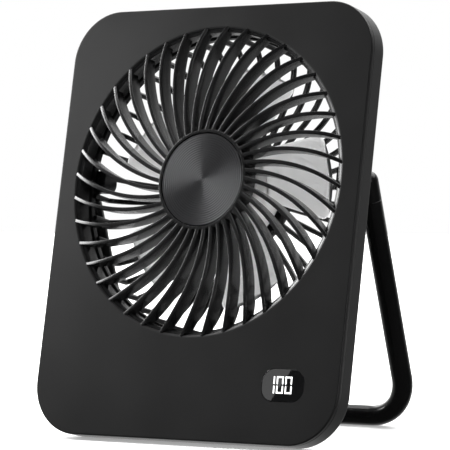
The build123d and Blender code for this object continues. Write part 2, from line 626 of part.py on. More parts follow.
def stand_knuckle(side):
    """Round end of one leg with a spigot in the tube and a boss that faces the hinge lug."""
    rod = Pos(0, 0, -KNUCKLE_LENGTH / 2) * Cylinder(TUBE_RADIUS, KNUCKLE_LENGTH)
    spigot_radius = TUBE_RADIUS - TUBE_THICKNESS - PRESS_GAP
    spigot = Pos(0, 0, -KNUCKLE_LENGTH - SPIGOT_LENGTH / 2) * Cylinder(spigot_radius, SPIGOT_LENGTH)
    boss_length = LEG_X - BOSS_END
    boss = Pos(-side * boss_length / 2, 0, 0) * Rot(0, 90, 0) * Cylinder(KNUCKLE_BOSS_RADIUS, boss_length)
    bore_length = boss_length + PIN_KNUCKLE_DEPTH - (LEG_X - BOSS_END) + FIXED_GAP
    bore_start = BOSS_END - LEG_X
    bore = Pos(side * (bore_start + bore_length / 2), 0, 0) * Rot(0, 90, 0) * Cylinder(
        PIN_RADIUS + PRESS_GAP, bore_length)
    return Pos(side * LEG_X, 0, 0) * (rod + Sphere(TUBE_RADIUS) + spigot + boss - bore)


def hinge_pin(side):
    """Pin held in the knuckle that turns in the lug's bore."""
    inner = LUG_OUTER - PIN_LUG_DEPTH
    outer = BOSS_END + PIN_KNUCKLE_DEPTH
    pin = Rot(0, 90, 0) * Cylinder(PIN_RADIUS, outer - inner)
    pin = chamfer(pin.edges(), FIXED_GAP)
    return Pos(side * (inner + outer) / 2, 0, 0) * pin


# Display, switch and power

def window_outline(inset):
    """Rounded outline of the display window, drawn in by an inset."""
    return Pos(WINDOW_X, WINDOW_Z) * RectangleRounded(
        WINDOW_WIDTH - 2 * inset, WINDOW_HEIGHT - 2 * inset, WINDOW_CORNER - inset)


def module_outline(inset):
    """Square-cornered outline of the digit display, drawn in by an inset."""
    return Pos(WINDOW_X, WINDOW_Z) * Rectangle(MODULE_WIDTH - 2 * inset, MODULE_HEIGHT - 2 * inset)


def display_window():
    """Lens flush with the face, seated on the ledge of its recess."""
    return slab(window_outline(0), 0, WINDOW_THICKNESS)


def display_module():
    """Digit display that stands from its board up to the lens."""
    return slab(module_outline(0), WINDOW_THICKNESS + FIXED_GAP, DISPLAY_BOARD_FRONT)


def display_board():
    outline = RectangleRounded(DISPLAY_BOARD_WIDTH, DISPLAY_BOARD_HEIGHT, BOARD_POST_RADIUS)
    return slab(Pos(WINDOW_X, WINDOW_Z) * outline, DISPLAY_BOARD_FRONT, DISPLAY_BOARD_BACK)


def tact_switch():
    """Square switch on the back of the display board with its round plunger."""
    place = Pos(WINDOW_X, WINDOW_Z)
    base_top = DISPLAY_BOARD_BACK + SWITCH_HEIGHT
    base = slab(place * Rectangle(SWITCH_SIZE, SWITCH_SIZE), DISPLAY_BOARD_BACK, base_top)
    return base + slab(place * Circle(PLUNGER_RADIUS), base_top, PLUNGER_TOP)


def power_button():
    """Dished round cap in the back with a flange inside and a stem above the switch."""
    place = Pos(WINDOW_X, WINDOW_Z)
    cap_back = BODY_DEPTH + BUTTON_PROUD
    cap = slab(place * Circle(BUTTON_RADIUS), BUTTON_FLANGE_FRONT, cap_back)
    cap = fillet(cap.edges().group_by(Axis.Y)[-1], BUTTON_EDGE_ROUND)
    flange = slab(place * Circle(BUTTON_RADIUS + BUTTON_FLANGE), BUTTON_FLANGE_FRONT, BUTTON_FLANGE_BACK)
    stem = slab(place * Circle(BUTTON_STEM_RADIUS), BUTTON_STEM_FRONT, BUTTON_FLANGE_BACK)
    dish_radius = BUTTON_RADIUS ** 2 / (2 * BUTTON_PROUD)
    dish = Pos(WINDOW_X, cap_back + dish_radius - BUTTON_PROUD / 2, WINDOW_Z) * Sphere(dish_radius)
    return cap + flange + stem - dish


def battery_pack():
    """Flat soft-cased cell in the lower body, lying on the back of the front panel."""
    middle = ((BATTERY_LEFT + BATTERY_RIGHT) / 2, PANEL_THICKNESS + BATTERY_THICKNESS / 2, BATTERY_Z)
    cell = Pos(*middle) * Box(BATTERY_RIGHT - BATTERY_LEFT, BATTERY_THICKNESS, BATTERY_HEIGHT)
    return fillet(cell.edges().filter_by(Axis.X), BATTERY_ROUND)


def inlet_outline(inset):
    """Pill-shaped outline of the charging inlet, across the depth and up the side wall."""
    height = INLET_HEIGHT - 2 * inset
    return RectangleRounded(height, INLET_WIDTH - 2 * inset, height / 2 - FIXED_GAP)


def inlet_slot():
    """Slot for the inlet through the left wall and what lies just inside it."""
    slot = extrude(Plane.YZ * inlet_outline(-FIXED_GAP), INLET_LENGTH, both=True)
    return Pos(-BODY_WIDTH / 2, INLET_DEPTH, INLET_Z) * slot


def usb_port():
    """Metal shell of the inlet, open to the left, with the contact tongue inside."""
    shell = extrude(Plane.YZ * (inlet_outline(0) - inlet_outline(INLET_WALL)), INLET_LENGTH)
    back = extrude(Plane.YZ * inlet_outline(0), INLET_WALL)
    tongue = extrude(Plane.YZ * Rectangle(TONGUE_THICKNESS, TONGUE_WIDTH), INLET_LENGTH - INLET_WALL)
    port = shell + Pos(INLET_LENGTH - INLET_WALL, 0, 0) * back + Pos(INLET_WALL, 0, 0) * tongue
    return Pos(-BODY_WIDTH / 2 + FIXED_GAP, INLET_DEPTH, INLET_Z) * port


def charge_board():
    outline = Pos(CHARGE_BOARD_X, INLET_Z) * Rectangle(CHARGE_BOARD_WIDTH, CHARGE_BOARD_HEIGHT)
    return slab(outline, CHARGE_BOARD_FRONT, CHARGE_BOARD_FRONT + BOARD_THICKNESS)


# Screws

def cover_screws():
    head_front = BODY_DEPTH - SCREW_HEAD_THICKNESS
    return Compound([
        screw(x, z, head_front, SCREW_RADIUS, SCREW_HEAD_RADIUS, SCREW_HEAD_THICKNESS, SCREW_DEPTH)
        for x, z in COVER_SCREWS])


def grille_screws():
    head_front = GUARD_FRONT + GUARD_FLANGE_THICKNESS
    return Compound([
        screw(x, z, head_front, SCREW_RADIUS, SCREW_HEAD_RADIUS, SCREW_HEAD_THICKNESS, SCREW_DEPTH)
        for x, z in GUARD_SCREWS])


def motor_screws():
    depth = GUARD_THICKNESS + BASE_THICKNESS
    return Compound([
        screw(x, z, GUARD_BACK, MOTOR_SCREW_RADIUS, MOTOR_SCREW_HEAD, SCREW_HEAD_THICKNESS, depth)
        for x, z in MOTOR_SCREWS])


# All pieces, set to the standing pose

BODY_PIECES = {
    "front_cover": front_cover(),
    "side_frame": side_frame(),
    "rear_cover": rear_cover(),
    "front_grille": front_grille(),
    "hub_cap": hub_cap(),
    "rear_grille": rear_grille(),
    "display_window": display_window(),
    "display_module": display_module(),
    "display_board": display_board(),
    "tact_switch": tact_switch(),
    "power_button": power_button(),
    "battery_pack": battery_pack(),
    "charge_board": charge_board(),
    "usb_port": usb_port(),
    "impeller": impeller(),
    "rotor_can": rotor_can(),
    "magnet_ring": magnet_ring(),
    "motor_shaft": motor_shaft(),
    "shaft_clip": shaft_clip(),
    "motor_base": motor_base(),
    "bearing_front": bearing(BEARING_TUBE_FRONT),
    "bearing_rear": bearing(BASE_FRONT - BEARING_LENGTH),
    "stator_core": stator_core(),
    "stator_winding": stator_winding(),
    "hinge_washer_left": hinge_washer(-1),
    "hinge_washer_right": hinge_washer(1),
    "cover_screws": cover_screws(),
    "grille_screws": grille_screws(),
    "motor_screws": motor_screws(),
}
STAND_PIECES = {
    "stand_tube": stand_tube(),
    "stand_knuckle_left": stand_knuckle(-1),
    "stand_knuckle_right": stand_knuckle(1),
    "hinge_pin_left": hinge_pin(-1),
    "hinge_pin_right": hinge_pin(1),
}

placed = {name: BODY_PLACE * piece for name, piece in BODY_PIECES.items()}
placed.update({name: STAND_PLACE * piece for name, piece in STAND_PIECES.items()})
boxes = [piece.bounding_box() for piece in placed.values()]
front_end = min(box.min.Y for box in boxes)
back_end = max(box.max.Y for box in boxes)
centre = Pos(0, -(front_end + back_end) / 2, 0)
for name, piece in placed.items():
    export_step(centre * piece, f"parts/{name}.step")

hinge = centre * HINGE
axis_middle = centre * BODY_PLACE * Pos(0, 0, AXIS_HEIGHT)
button_middle = centre * BODY_PLACE * Pos(WINDOW_X, BODY_DEPTH, WINDOW_Z)
print("depth", back_end - front_end, "height", max(box.max.Z for box in boxes), "shift", centre.position)
print("hinge", hinge.position, "spread", STAND_SPREAD, "lean", LEAN)
print("fan axis", axis_middle.position, "button", button_middle.position)
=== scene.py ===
"""Looks of the foldable desk fan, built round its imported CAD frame.

Body pieces are drawn in millimetres in the body's own frame: u to the right and v up, both from the
fan's axis, and d from the face towards the back. Stand pieces are drawn hanging from the hinge.
"""

import json
import math

import bmesh
import bpy
import numpy as np
from mathutils import Matrix


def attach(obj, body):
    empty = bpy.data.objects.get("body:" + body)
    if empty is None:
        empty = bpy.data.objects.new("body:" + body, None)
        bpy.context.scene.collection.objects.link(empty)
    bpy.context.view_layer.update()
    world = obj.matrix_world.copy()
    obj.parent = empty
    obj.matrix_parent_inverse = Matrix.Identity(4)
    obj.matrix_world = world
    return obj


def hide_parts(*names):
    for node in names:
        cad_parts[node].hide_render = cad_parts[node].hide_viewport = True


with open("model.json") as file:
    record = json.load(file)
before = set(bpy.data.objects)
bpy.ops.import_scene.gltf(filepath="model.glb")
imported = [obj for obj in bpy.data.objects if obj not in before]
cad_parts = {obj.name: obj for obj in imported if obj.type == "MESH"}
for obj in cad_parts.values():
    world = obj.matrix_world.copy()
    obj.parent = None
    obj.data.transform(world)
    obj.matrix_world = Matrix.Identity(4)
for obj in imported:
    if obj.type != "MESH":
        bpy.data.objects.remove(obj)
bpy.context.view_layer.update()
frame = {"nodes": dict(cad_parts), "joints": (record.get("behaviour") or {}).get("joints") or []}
joints = {joint["name"]: joint for joint in frame["joints"]}

# Body frame, from the fan's axis
MM = 0.001
AXIS_POINT = np.array(joints["fan_spin"]["pos_m"])
BACK = -np.array(joints["fan_spin"]["axis"])
RIGHT = np.array([1.0, 0.0, 0.0])
UP = np.cross(RIGHT, BACK)
HINGE = np.array(joints["stand_hinge"]["pos_m"])

# Body, in millimetres
BODY_WIDTH = 162.0
BODY_TOP = 81.5
BODY_BOTTOM = -118.5
BODY_DEPTH = 10.7
CORNER_RADIUS = 24.0
PANEL_THICKNESS = 2.2
WALL = 1.8
FRONT_EDGE_ROUND = 0.6
REAR_EDGE_ROUND = 0.8
SEAM_BEVEL = 0.25
REAR_COVER_FRONT = 9.1
OPENING_RADIUS = 71.2
OPENING_BEVEL = 0.8
OPENING_BEVEL_DEPTH = 0.3
COLLAR_RADIUS = 72.4
EDGE_SUPPORT = 0.3

# Front grille and hub cap
RIB_COUNT = 40
RIB_PHASE = 29.7
RIB_WIDTH = 1.8
RIB_STEPS = 72
RIB_FRONT = -2.4
RIB_BACK = 5.2
RIB_FRONT_ROUND = 0.4
RIB_BACK_ROUND = 0.3
RIB_ARC = ((22.05, -1.2), (44.15, -11.5), (72.6, -23.95))
RIB_FALL_START = 55.4
RIB_FALL = 0.0089
RIM_RADIUS = 71.1
RIM_INNER = 69.4
RIM_FRONT = 0.9
RIM_ROUND = 0.45
RIM_SLANT = 0.4
HUB_RADIUS = 23.35
HUB_FRONT = -2.45
HUB_BEVEL = 0.35
HUB_LIP_ROUND = 0.15
HUB_BACK = 6.3
CAP_SEAT_RADIUS = 21.85
CAP_SEAT = -0.9
CAP_RADIUS = 21.3
CAP_FRONT = -2.2
CAP_DISH = 0.25
CAP_EDGE_ROUND = 0.25
GROOVE_PITCH = 1.05
GROOVE_DEPTH = 0.05
GROOVE_STEPS = 8

# Impeller
BLADE_COUNT = 5
BLADE_PHASE = 5.0
BLADE_ROOT_RADIUS = 22.2
BLADE_TIP_RADIUS = 56.0
BLADE_CORNER = 3.0
BLADE_LOW_ANGLES = (-19.0, -20.0)
BLADE_HIGH_ANGLES = (37.0, 20.0)
BLADE_SHEET_HALF = (15.0, 24.0)
BLADE_FRONT = (10.5, 13.5)
BLADE_BACK = 21.5
BLADE_CAMBER = 1.6
BLADE_THICKNESS = 1.4
BLADE_EDGE_POWER = 8
BLADE_TIP_POWER = 40
BLADE_ROWS = 40
BLADE_COLUMNS = 25
CUP_RADIUS = 23.0
CUP_WALL = 1.6
CUP_FRONT = 8.2
CUP_BACK = 30.1
CUP_EDGE_ROUND = 1.5

# Rear guard
GUARD_RIB_COUNT = 40
GUARD_RIB_PHASE = 4.0
GUARD_RIB_WIDTH = 2.2
GUARD_THICKNESS = 2.4
GUARD_EDGE_ROUND = 0.6
GUARD_ROOT_RADIUS = 24.1
GUARD_CROWN_RADIUS = 42.0
GUARD_WALL_RADIUS = 68.2
GUARD_DOME_RADIUS = 33.9
GUARD_HUB_RADIUS = 26.5
GUARD_HUB_FRONT = 33.3
GUARD_BACK = 35.7
GUARD_RADIUS = 70.2
GUARD_FLANGE = 1.6
GUARD_FLANGE_THICKNESS = 1.4
GUARD_TAB_CIRCLE = 74.3
GUARD_TAB_RADIUS = 5.0
GUARD_TAB_ANGLES = (45.0, 135.0, 225.0, 315.0)
LUG_INNER = 62.8
LUG_OUTER = 70.5
LUG_RADIUS = 5.0
HINGE_V = 2.2
HINGE_D = 15.7

# Stand
STAND_SPREAD = math.radians(14.56)
TUBE_RADIUS = 4.7
LEG_X = BODY_WIDTH / 2 - TUBE_RADIUS
LEG_LENGTH = (HINGE[2] / MM - TUBE_RADIUS) / math.cos(STAND_SPREAD)
BEND_RADIUS = 19.5
KNUCKLE_LENGTH = 9.0
KNUCKLE_BOSS_RADIUS = 4.0
KNUCKLE_SEAM = 0.12
BOSS_END = 71.3

# Display and button
WINDOW_U = 52.7
WINDOW_V = -92.1
WINDOW_WIDTH = 21.7
WINDOW_HEIGHT = 14.6
WINDOW_CORNER = 6.2
WINDOW_GAP = 0.1
WINDOW_THICKNESS = 1.3
WINDOW_EDGE_ROUND = 0.08
RECESS_CUT = 1.0
DIGIT_HEIGHT = 7.6
DIGIT_WIDTH = 3.5
DIGIT_STEP = 4.4
DIGIT_STROKE = 0.7
DIGIT_GAP = 0.2
DIGIT_SLANT = -0.03
DIGIT_PROUD = 0.02
DIGITS_U = 51.2
DIGITS_V = -91.95
BUTTON_RADIUS = 5.5
BUTTON_BACK = 11.3
BUTTON_DISH = 0.3
BUTTON_EDGE_ROUND = 0.4
BUTTON_FRONT = 8.1
INLET_V = -82.5
INLET_D = 5.27
INLET_WIDTH = 9.14
INLET_HEIGHT = 3.46
INLET_CORNER = 1.63
INLET_CUT = 4.0

# Numbers of grid steps, and limits for merging points and for sharp edges
CORNER_STEPS = 24
STRAIGHT_STEPS = 48
SHORT_STEPS = 4
ROUND_STEPS = 6
TURN_STEPS = 160
TUBE_STEPS = 48
BEND_POINTS = 24
DOME_POINTS = 30
LEG_TOP_POINTS = 18
LUG_POINTS = 24
DISH_POINTS = 24
WELD_DISTANCE = 2e-7
SHARP_ANGLE = math.radians(34)


# Places

def place(points):
    """Body points (u, d, v) in millimetres to the row frame: the axis point plus u, d and v steps."""
    return AXIS_POINT + MM * (np.asarray(points) @ np.stack([RIGHT, BACK, UP]))


def hang(points):
    """Stand points from the hinge, turned back about it by the stand's spread, to the row frame."""
    points = np.asarray(points)
    x, y, z = points[..., 0], points[..., 1], points[..., 2]
    cos, sin = math.cos(STAND_SPREAD), math.sin(STAND_SPREAD)
    return HINGE + MM * np.stack([x, y * cos - z * sin, y * sin + z * cos], -1)


def polar(radius, degrees):
    """Points (u, v) at a radius and an angle anticlockwise from the right, seen from the front."""
    angle = np.radians(degrees)
    return np.stack([radius * np.cos(angle), radius * np.sin(angle)], -1)


def turned_copies(points, degrees):
    """Copies of body points turned about the fan's axis by each of the angles."""
    angle = np.radians(degrees)[:, None, None]
    cos, sin = np.cos(angle), np.sin(angle)
    u, d, v = points[..., 0], points[..., 1], points[..., 2]
    return np.stack([u * cos - v * sin, np.broadcast_to(d, (u * cos).shape), u * sin + v * cos], -1)


# Lines and sections

def arc_through(points, count):
    """Points at equal steps on the circle arc through three points."""
    a, b, c = (complex(*point) for point in points)
    ratio = (c - a) / (b - a)
    centre = a + (b - a) * (ratio - abs(ratio) ** 2) / (2j * ratio.imag)
    start, middle, end = (np.angle(point - centre) for point in (a, b, c))
    turn = np.angle(np.exp(1j * (middle - start))) + np.angle(np.exp(1j * (end - middle)))
    line = centre + abs(a - centre) * np.exp(1j * (start + turn * np.linspace(0, 1, count)))
    return np.stack([line.real, line.imag], -1)


def quarter(centre, radius, start):
    """Quarter circle of points about a centre, anticlockwise from a start angle in degrees."""
    return np.asarray(centre) + polar(radius, start + np.linspace(0, 90, ROUND_STEPS + 1))


def bar_section(width, front, back, front_round, back_round):
    """Closed loop (across, d) of a bar: straight sides and a quarter circle at each corner."""
    half = width / 2
    loop = np.concatenate([
        quarter((half - back_round, back - back_round), back_round, 0),
        quarter((back_round - half, back - back_round), back_round, 90),
        quarter((front_round - half, front + front_round), front_round, 180),
        quarter((half - front_round, front + front_round), front_round, 270)])
    return np.concatenate([loop, loop[:1]])


def unit(vectors):
    """Vectors scaled to length one."""
    return vectors / np.linalg.norm(vectors, axis=-1, keepdims=True)


# Surfaces on grids, each an array of rows by columns of points

def sweep(path, across, deep, section):
    """Section loop carried along a path: each path point plus the loop's steps across and deep."""
    return (path[:, None] + section[..., :1] * across[:, None] + section[..., 1:] * deep[:, None])


def capped(rows):
    """Grid closed at both ends by one more row at the middle of its end row."""
    ends = [np.broadcast_to(row.mean(0), row.shape)[None] for row in (rows[0], rows[-1])]
    return np.concatenate([ends[0], rows, ends[1]])


def turned(profile, centre=(0.0, 0.0)):
    """Profile (radius, d) turned about an axis along d through a centre (u, v)."""
    radius, depth = np.asarray(profile, float).T[..., None]
    circle = polar(1.0, np.linspace(0, 360, TURN_STEPS + 1))
    u = centre[0] + radius * circle[:, 0]
    v = centre[1] + radius * circle[:, 1]
    return np.stack([u, np.broadcast_to(depth, u.shape), v], -1)


def rounded_loop(width, height, corner, centre, steps):
    """Centres and outward directions of a rounded rectangle: a point is centre + radius * direction."""
    half = np.array([width / 2 - corner, height / 2 - corner])
    signs = np.array([[1, -1], [1, 1], [-1, 1], [-1, -1], [1, -1]])
    corners = np.asarray(centre) + signs * half
    starts = np.array([-90, 0, 90, 180])
    arcs = starts[:, None] + np.linspace(0, 90, CORNER_STEPS + 1)
    share = np.linspace(0, 1, steps + 1)[1:-1, None]
    centres, angles = [], []
    for i in range(4):
        centres += [np.repeat(corners[i:i + 1], CORNER_STEPS + 1, 0),
                    corners[i] + share * (corners[i + 1] - corners[i])]
        angles += [arcs[i], np.full(steps - 1, arcs[i, -1])]
    centres, directions = np.concatenate(centres), polar(1.0, np.concatenate(angles))
    return np.concatenate([centres, centres[:1]]), np.concatenate([directions, directions[:1]])


def ring_row(points, depth):
    """Row of body points from a loop (u, v) at one depth."""
    return np.stack([points[:, 0], np.full(len(points), depth), points[:, 1]], -1)


def surface(sheets):
    """Vertices, quads and grid coordinates of several sheets, each with any number of copies."""
    vertices, quads, grid = [], [], []
    start = 0
    for sheet in sheets:
        rows, columns = sheet.shape[-3:-1]
        copies = sheet.reshape(-1, rows * columns, 3)
        index = np.arange(rows * columns).reshape(rows, columns)
        cells = np.stack([index[:-1, :-1], index[:-1, 1:], index[1:, 1:], index[1:, :-1]], -1)
        offsets = start + rows * columns * np.arange(len(copies))
        quads.append((cells.reshape(-1, 4) + offsets[:, None, None]).reshape(-1, 4))
        vertices.append(copies.reshape(-1, 3))
        steps = np.meshgrid(np.linspace(0, 1, columns), np.linspace(0, 1, rows))
        grid.append(np.tile(np.stack(steps, -1).reshape(-1, 2), (len(copies), 1)))
        start += copies.shape[0] * rows * columns
    return np.concatenate(vertices), np.concatenate(quads), np.concatenate(grid)


def welded_mesh(name, sheets):
    """Mesh of the sheets with their seams and poles merged and its faces turned outwards."""
    vertices, quads, grid = surface(sheets)
    mesh = bpy.data.meshes.new(name)
    mesh.from_pydata(vertices.tolist(), [], quads.tolist())
    layer = mesh.uv_layers.new(name="grid")
    layer.data.foreach_set("uv", grid[quads.ravel()].astype(np.float32).ravel())
    work = bmesh.new()
    work.from_mesh(mesh)
    bmesh.ops.remove_doubles(work, verts=work.verts, dist=WELD_DISTANCE)
    bmesh.ops.recalc_face_normals(work, faces=work.faces)
    work.to_mesh(mesh)
    work.free()
    return mesh


def cut_out(piece, sheets):
    """Takes a closed shape out of a piece's mesh."""
    tool = bpy.data.objects.new("tool", welded_mesh("tool", sheets))
    bpy.context.scene.collection.objects.link(tool)
    modifier = piece.modifiers.new("cut", "BOOLEAN")
    modifier.operation = "DIFFERENCE"
    modifier.object = tool
    shaped = piece.evaluated_get(bpy.context.evaluated_depsgraph_get())
    piece.data = bpy.data.meshes.new_from_object(shaped)
    piece.modifiers.clear()
    bpy.data.objects.remove(tool)


def add_piece(name, sheets, material, body, replaced=(), holes=()):
    """Piece from sheets in the row frame: shaded smooth up to the sharp angle, riding on its body."""
    piece = bpy.data.objects.new(name, welded_mesh(name, sheets))
    bpy.context.scene.collection.objects.link(piece)
    for hole in holes:
        cut_out(piece, hole)
    piece.data.shade_smooth()
    piece.data.set_sharp_from_angle(angle=SHARP_ANGLE)
    piece.data.materials.clear()
    piece.data.materials.append(material)
    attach(piece, body)
    if replaced:
        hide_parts(*replaced)


# Materials

NOISE_LOW = 0.3
NOISE_HIGH = 0.7
PATCH_DETAIL = 4
GRAIN_DETAIL = 2
WHITE = (1.0, 1.0, 1.0, 1.0)


def noise(tree, coordinates, size, detail):
    """Noise of a grain size in millimetres."""
    node = tree.nodes.new("ShaderNodeTexNoise")
    node.inputs["Scale"].default_value = 1 / (size * MM)
    node.inputs["Detail"].default_value = detail
    tree.links.new(coordinates, node.inputs["Vector"])
    return node.outputs["Fac"]


def spread(tree, value, low, high):
    """Noise, which keeps near one half, spread to a range."""
    node = tree.nodes.new("ShaderNodeMapRange")
    node.inputs["From Min"].default_value = NOISE_LOW
    node.inputs["From Max"].default_value = NOISE_HIGH
    node.inputs["To Min"].default_value = low
    node.inputs["To Max"].default_value = high
    tree.links.new(value, node.inputs["Value"])
    return node.outputs["Result"]


def shades(tree, value, dark, light):
    """Colour between two shades by a value that keeps near one half."""
    node = tree.nodes.new("ShaderNodeValToRGB")
    positions = (NOISE_LOW, NOISE_HIGH)
    for element, position, colour in zip(node.color_ramp.elements, positions, (dark, light)):
        element.position = position
        element.color = (*colour, 1.0)
    tree.links.new(value, node.inputs["Fac"])
    return node.outputs["Color"]


def bump(tree, height, depth):
    """Normal from a height of a depth in millimetres."""
    node = tree.nodes.new("ShaderNodeBump")
    node.inputs["Strength"].default_value = 1.0
    node.inputs["Distance"].default_value = depth * MM
    tree.links.new(height, node.inputs["Height"])
    return node.outputs["Normal"]


def grained(name, dark, light, roughness, grain, depth, patch=40.0, squeeze=(1, 1, 1), **sockets):
    """Finish with a fine grain: shade and roughness wander in soft patches, and the grain is a bump."""
    material = bpy.data.materials.new(name)
    material.use_nodes = True
    tree = material.node_tree
    shader = tree.nodes["Principled BSDF"]
    mapping = tree.nodes.new("ShaderNodeMapping")
    mapping.inputs["Scale"].default_value = squeeze
    tree.links.new(tree.nodes.new("ShaderNodeTexCoord").outputs["Object"], mapping.inputs["Vector"])
    coordinates = mapping.outputs["Vector"]
    patches = noise(tree, coordinates, patch, PATCH_DETAIL)
    tree.links.new(shades(tree, patches, dark, light), shader.inputs["Base Color"])
    tree.links.new(spread(tree, patches, *roughness), shader.inputs["Roughness"])
    height = noise(tree, coordinates, grain, GRAIN_DETAIL)
    tree.links.new(bump(tree, height, depth), shader.inputs["Normal"])
    for socket, value in sockets.items():
        shader.inputs[socket.replace("_", " ")].default_value = value
    return material


def spun_metal():
    """Dark turned metal whose highlights are stretched by its fine turning marks."""
    material = grained("spun_black_metal", (0.027, 0.027, 0.029), (0.039, 0.039, 0.041), (0.30, 0.36),
                       0.8, 0.002, Metallic=0.65, Anisotropic=0.8, Anisotropic_Rotation=0.33)
    tree = material.node_tree
    tangent = tree.nodes.new("ShaderNodeTangent")
    tangent.direction_type = "UV_MAP"
    tangent.uv_map = "grid"
    tree.links.new(tangent.outputs["Tangent"], tree.nodes["Principled BSDF"].inputs["Tangent"])
    return material


# Finishes: dark and light shade, range of roughness, grain, its depth and the size of the patches
FACE = grained("satin_black_plastic", (0.0040, 0.0040, 0.0041), (0.0052, 0.0052, 0.0053), (0.36, 0.40),
               0.35, 0.010, Specular_IOR_Level=0.33)
GRILLE = grained("gloss_black_plastic", (0.004, 0.004, 0.0042), (0.006, 0.006, 0.0062), (0.20, 0.26),
                 1.2, 0.005)
BLADE = grained("grey_blade_plastic", (0.92, 0.92, 0.92), (0.96, 0.96, 0.96), (0.38, 0.46), 0.6, 0.006,
                Subsurface_Weight=0.9, Subsurface_Radius=(1.0, 1.0, 1.0), Subsurface_Scale=0.006)
STAND_PAINT = grained("black_tube_paint", (0.0012, 0.0012, 0.0013), (0.002, 0.002, 0.0021), (0.20, 0.26),
                      2.5, 0.008, Specular_IOR_Level=0.3)
KNUCKLE = grained("black_end_plastic", (0.0012, 0.0012, 0.0013), (0.002, 0.002, 0.0021), (0.26, 0.32),
                  0.6, 0.006, Specular_IOR_Level=0.3)
LENS = grained("black_lens", (0.002, 0.002, 0.0022), (0.003, 0.003, 0.0032), (0.005, 0.015), 6.0, 0.002,
               Coat_Weight=0.5, Coat_Roughness=0.01)
SPUN = spun_metal()
LIT = grained("lit_digits", (0.7, 0.7, 0.7), (0.8, 0.8, 0.8), (0.4, 0.5), 0.3, 0.002,
              Emission_Color=WHITE, Emission_Strength=1.0)
RUBBER = grained("soft_button_rubber", (0.016, 0.016, 0.017), (0.022, 0.022, 0.023), (0.62, 0.72),
                 0.25, 0.012)
STEEL = grained("plain_steel", (0.48, 0.48, 0.49), (0.58, 0.58, 0.59), (0.26, 0.38), 0.15, 0.004, 6.0,
                Metallic=1.0)
BLACK_STEEL = grained("black_screw_steel", (0.05, 0.05, 0.052), (0.08, 0.08, 0.082), (0.32, 0.44),
                      0.2, 0.004, 5.0, Metallic=1.0)
MAGNET = grained("bonded_magnet", (0.07, 0.07, 0.075), (0.12, 0.12, 0.125), (0.5, 0.65), 0.2, 0.015, 4.0,
                 Metallic=0.6)
COPPER = grained("enamelled_wire", (0.42, 0.16, 0.06), (0.60, 0.26, 0.10), (0.22, 0.34), 0.35, 0.06, 5.0,
                 (1, 1, 6), Metallic=1.0)
BOARD = grained("green_board", (0.010, 0.070, 0.030), (0.018, 0.110, 0.050), (0.30, 0.42), 1.5, 0.03, 6.0,
                Coat_Weight=0.4)
SWITCH = grained("matt_black_plastic", (0.020, 0.020, 0.021), (0.028, 0.028, 0.029), (0.5, 0.6), 0.4, 0.01)
CELL_FOIL = grained("cell_foil", (0.40, 0.40, 0.42), (0.55, 0.55, 0.57), (0.30, 0.42), 5.0, 0.12, 20.0,
                    Metallic=0.9)
CAST_BASE = grained("cast_base_metal", (0.45, 0.45, 0.47), (0.55, 0.55, 0.57), (0.38, 0.52),
                    0.5, 0.02, 10.0, Metallic=1.0)

NODE_FINISHES = {
    "front_cover": FACE, "side_frame": FACE, "rear_cover": FACE, "front_grille": GRILLE, "hub_cap": SPUN,
    "rear_grille": GRILLE, "display_window": LENS, "display_module": SWITCH,
    "display_board": BOARD, "tact_switch": SWITCH, "power_button": RUBBER, "battery_pack": CELL_FOIL,
    "charge_board": BOARD, "usb_port": STEEL, "impeller": BLADE, "rotor_can": STEEL, "magnet_ring": MAGNET,
    "motor_shaft": STEEL, "shaft_clip": STEEL, "motor_base": CAST_BASE, "bearing_front": STEEL,
    "bearing_rear": STEEL, "stator_core": STEEL, "stator_winding": COPPER, "hinge_washer_left": SWITCH,
    "hinge_washer_right": SWITCH, "cover_screws": BLACK_STEEL, "grille_screws": BLACK_STEEL,
    "motor_screws": BLACK_STEEL, "stand_tube": STAND_PAINT, "stand_knuckle_left": KNUCKLE,
    "stand_knuckle_right": KNUCKLE, "hinge_pin_left": STEEL, "hinge_pin_right": STEEL,
}
for node_name, finish in NODE_FINISHES.items():
    node = frame["nodes"][node_name]
    node.data.materials.clear()
    node.data.materials.append(finish)


# Casing, display and button

# Signs of the insets and depths of a turned edge
OUTER_FRONT = (-1, 1)
OUTER_BACK = (-1, -1)
INNER_FRONT = (1, 1)

BODY_CENTRES, BODY_DIRECTIONS = rounded_loop(
    BODY_WIDTH, BODY_TOP - BODY_BOTTOM, CORNER_RADIUS, (0.0, (BODY_TOP + BODY_BOTTOM) / 2), STRAIGHT_STEPS)


def outline_row(inset, depth):
    """Row on the body's rounded outline, drawn in by an inset."""
    return ring_row(BODY_CENTRES + (CORNER_RADIUS - inset) * BODY_DIRECTIONS, depth)


def opening_row(radius, depth):
    """Row on a circle round the axis, each point in line with one of the body's outline."""
    outline = BODY_CENTRES + CORNER_RADIUS * BODY_DIRECTIONS
    return ring_row(radius * unit(outline), depth)


def window_row(inset, depth):
    """Row on the display window's rounded outline, drawn in by an inset."""
    centres, directions = rounded_loop(
        WINDOW_WIDTH, WINDOW_HEIGHT, WINDOW_CORNER, (WINDOW_U, WINDOW_V), SHORT_STEPS)
    return ring_row(centres + (WINDOW_CORNER - inset) * directions, depth)


def edge_steps(radius):
    """Insets and depths of a quarter-round edge, from its face to its side."""
    angle = np.linspace(0, math.pi / 2, ROUND_STEPS + 1)
    return list(zip(radius * (1 - np.sin(angle)), radius * (1 - np.cos(angle))))


def turned_edge(radius, face, size, signs):
    """Profile (radius, d) of a quarter-round edge, by the signs of its insets and depths."""
    inset_sign, depth_sign = signs
    return [(radius + inset_sign * inset, face + depth_sign * depth) for inset, depth in edge_steps(size)]


